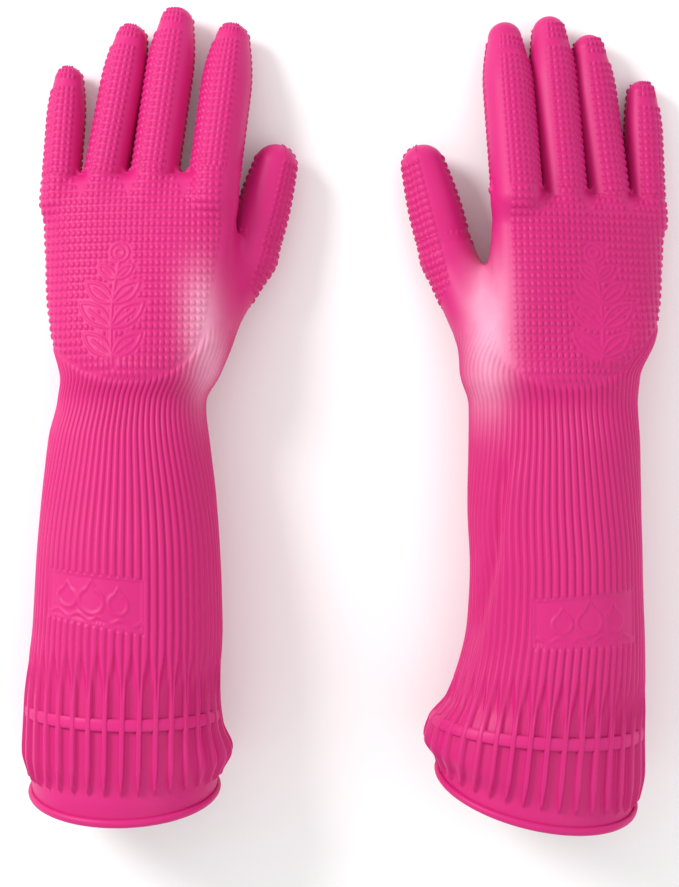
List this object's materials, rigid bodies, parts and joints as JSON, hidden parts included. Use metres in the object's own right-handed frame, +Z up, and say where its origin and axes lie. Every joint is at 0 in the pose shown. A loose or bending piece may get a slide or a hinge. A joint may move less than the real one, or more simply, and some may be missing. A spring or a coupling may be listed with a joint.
{
  "type": "rubber gloves",
  "caption": "Pair of long household rubber gloves lying palm down, with nubbed hands, bending fingers, ribbed sleeves and flared pleated cuffs.",
  "frame": {"origin": "centre of the pair's box, on the surface the gloves lie on", "axes": "+Z up, out of the backs of the hands; +Y towards the fingertips; +X from the left glove to the right glove"},
  "size_m": [0.295, 0.3765, 0.0734],
  "materials": {
    "hand_rubber": "satin",
    "sleeve_rubber": "satin",
    "band_rubber": "satin"
  },
  "bodies": {
    "left_sleeve": {"left_sleeve": "sleeve_rubber", "left_elastic_band": "band_rubber", "left_pleated_cuff": "sleeve_rubber", "left_rim": "sleeve_rubber", "left_wrist": "sleeve_rubber"},
    "left_hand": {"left_hand": "hand_rubber"},
    "left_index_base": {"left_index_base": "hand_rubber"},
    "left_index_tip": {"left_index_tip": "hand_rubber"},
    "left_middle_base": {"left_middle_base": "hand_rubber"},
    "left_middle_tip": {"left_middle_tip": "hand_rubber"},
    "left_ring_base": {"left_ring_base": "hand_rubber"},
    "left_ring_tip": {"left_ring_tip": "hand_rubber"},
    "left_little_base": {"left_little_base": "hand_rubber"},
    "left_little_tip": {"left_little_tip": "hand_rubber"},
    "left_thumb_base": {"left_thumb_base": "hand_rubber"},
    "left_thumb_tip": {"left_thumb_tip": "hand_rubber"},
    "right_sleeve": {"right_sleeve": "sleeve_rubber", "right_elastic_band": "band_rubber", "right_pleated_cuff": "sleeve_rubber", "right_rim": "sleeve_rubber", "right_wrist": "sleeve_rubber"},
    "right_hand": {"right_hand": "hand_rubber"},
    "right_index_base": {"right_index_base": "hand_rubber"},
    "right_index_tip": {"right_index_tip": "hand_rubber"},
    "right_middle_base": {"right_middle_base": "hand_rubber"},
    "right_middle_tip": {"right_middle_tip": "hand_rubber"},
    "right_ring_base": {"right_ring_base": "hand_rubber"},
    "right_ring_tip": {"right_ring_tip": "hand_rubber"},
    "right_little_base": {"right_little_base": "hand_rubber"},
    "right_little_tip": {"right_little_tip": "hand_rubber"},
    "right_thumb_base": {"right_thumb_base": "hand_rubber"},
    "right_thumb_tip": {"right_thumb_tip": "hand_rubber"}
  },
  "joints": [
    {"name": "gloves_apart", "type": "slide", "parent": "left_sleeve", "child": "right_sleeve", "axis": [1, 0, 0], "range_m": [-0.03, 0.15]},
    {"name": "left_wrist_bend", "type": "hinge", "parent": "left_sleeve", "child": "left_hand", "pos_m": [-0.099, 0.0018, 0.02844], "axis": [-1, 0, 0], "range_deg": [-45, 50], "stiffness_Nm_per_rad": 0.25, "deforming": ["left_wrist"]},
    {"name": "left_index_knuckle", "type": "hinge", "parent": "left_hand", "child": "left_index_base", "pos_m": [-0.05928, 0.10414, 0.02012], "axis": [-0.9809, 0.0483, -0.1884], "range_deg": [0, 60], "stiffness_Nm_per_rad": 0.03},
    {"name": "left_index_middle_joint", "type": "hinge", "parent": "left_index_base", "child": "left_index_tip", "pos_m": [-0.05564, 0.13963, 0.01028], "axis": [-0.9809, 0.0483, -0.1884], "range_deg": [0, 75], "stiffness_Nm_per_rad": 0.02},
    {"name": "left_middle_knuckle", "type": "hinge", "parent": "left_hand", "child": "left_middle_base", "pos_m": [-0.08703, 0.10737, 0.01572], "axis": [-0.9786, 0.0758, -0.1911], "range_deg": [0, 70], "stiffness_Nm_per_rad": 0.03},
    {"name": "left_middle_middle_joint", "type": "hinge", "parent": "left_middle_base", "child": "left_middle_tip", "pos_m": [-0.08247, 0.14632, 0.00779], "axis": [-0.9786, 0.0758, -0.1911], "range_deg": [0, 75], "stiffness_Nm_per_rad": 0.02},
    {"name": "left_ring_knuckle", "type": "hinge", "parent": "left_hand", "child": "left_ring_base", "pos_m": [-0.11038, 0.10615, 0.01224], "axis": [-0.9729, 0.1193, -0.198], "range_deg": [0, 70], "stiffness_Nm_per_rad": 0.03},
    {"name": "left_ring_middle_joint", "type": "hinge", "parent": "left_ring_base", "child": "left_ring_tip", "pos_m": [-0.10469, 0.14218, 0.00601], "axis": [-0.9729, 0.1193, -0.198], "range_deg": [0, 75], "stiffness_Nm_per_rad": 0.02},
    {"name": "left_little_knuckle", "type": "hinge", "parent": "left_hand", "child": "left_little_base", "pos_m": [-0.13139, 0.10594, 0.00982], "axis": [-0.9845, 0.0076, -0.1753], "range_deg": [0, 70], "stiffness_Nm_per_rad": 0.03},
    {"name": "left_little_middle_joint", "type": "hinge", "parent": "left_little_base", "child": "left_little_tip", "pos_m": [-0.1303, 0.13246, 0.00484], "axis": [-0.9845, 0.0076, -0.1753], "range_deg": [0, 75], "stiffness_Nm_per_rad": 0.02},
    {"name": "left_thumb_swing", "type": "hinge", "parent": "left_hand", "child": "left_thumb_base", "pos_m": [-0.03424, 0.06887, 0.01898], "axis": [0.1723, -0.1229, -0.9773], "range_deg": [0, 35], "stiffness_Nm_per_rad": 0.03},
    {"name": "left_thumb_bend", "type": "hinge", "parent": "left_thumb_base", "child": "left_thumb_tip", "pos_m": [-0.04597, 0.09749, 0.00478], "axis": [-0.7931, 0.2596, 0.551], "range_deg": [0, 45], "stiffness_Nm_per_rad": 0.02},
    {"name": "right_wrist_bend", "type": "hinge", "parent": "right_sleeve", "child": "right_hand", "pos_m": [0.094, -0.0005, 0.02844], "axis": [-1, 0, 0], "range_deg": [-45, 50], "stiffness_Nm_per_rad": 0.25, "deforming": ["right_wrist"]},
    {"name": "right_index_knuckle", "type": "hinge", "parent": "right_hand", "child": "right_index_base", "pos_m": [0.07262, 0.10462, 0.02167], "axis": [-0.9545, 0.0465, 0.2947], "range_deg": [0, 60], "stiffness_Nm_per_rad": 0.03},
    {"name": "right_index_middle_joint", "type": "hinge", "parent": "right_index_base", "child": "right_index_tip", "pos_m": [0.07112, 0.1401, 0.01123], "axis": [-0.9545, 0.0465, 0.2947], "range_deg": [0, 75], "stiffness_Nm_per_rad": 0.02},
    {"name": "right_middle_knuckle", "type": "hinge", "parent": "right_hand", "child": "right_middle_base", "pos_m": [0.095, 0.10272, 0.01484], "axis": [-0.9512, 0.0022, 0.3086], "range_deg": [0, 70], "stiffness_Nm_per_rad": 0.03},
    {"name": "right_middle_middle_joint", "type": "hinge", "parent": "right_middle_base", "child": "right_middle_tip", "pos_m": [0.0927, 0.14198, 0.00748], "axis": [-0.9512, 0.0022, 0.3086], "range_deg": [0, 75], "stiffness_Nm_per_rad": 0.02},
    {"name": "right_ring_knuckle", "type": "hinge", "parent": "right_hand", "child": "right_ring_base", "pos_m": [0.11647, 0.10079, 0.00848], "axis": [-0.9461, -0.0614, 0.3179], "range_deg": [0, 70], "stiffness_Nm_per_rad": 0.03},
    {"name": "right_ring_middle_joint", "type": "hinge", "parent": "right_ring_base", "child": "right_ring_tip", "pos_m": [0.11267, 0.13735, 0.00422], "axis": [-0.9461, -0.0614, 0.3179], "range_deg": [0, 75], "stiffness_Nm_per_rad": 0.02},
    {"name": "right_little_knuckle", "type": "hinge", "parent": "right_hand", "child": "right_little_base", "pos_m": [0.13588, 0.09952, 0.00346], "axis": [-0.951, -0.0028, 0.3093], "range_deg": [0, 70], "stiffness_Nm_per_rad": 0.03},
    {"name": "right_little_middle_joint", "type": "hinge", "parent": "right_little_base", "child": "right_little_tip", "pos_m": [0.13523, 0.12646, 0.0017], "axis": [-0.951, -0.0028, 0.3093], "range_deg": [0, 75], "stiffness_Nm_per_rad": 0.02},
    {"name": "right_thumb_swing", "type": "hinge", "parent": "right_hand", "child": "right_thumb_base", "pos_m": [0.03524, 0.06893, 0.02069], "axis": [0.3054, 0.1527, 0.9399], "range_deg": [0, 35], "stiffness_Nm_per_rad": 0.03},
    {"name": "right_thumb_bend", "type": "hinge", "parent": "right_thumb_base", "child": "right_thumb_tip", "pos_m": [0.04546, 0.09676, 0.00397], "axis": [-0.8651, -0.2601, -0.429], "range_deg": [0, 45], "stiffness_Nm_per_rad": 0.02}
  ]
}
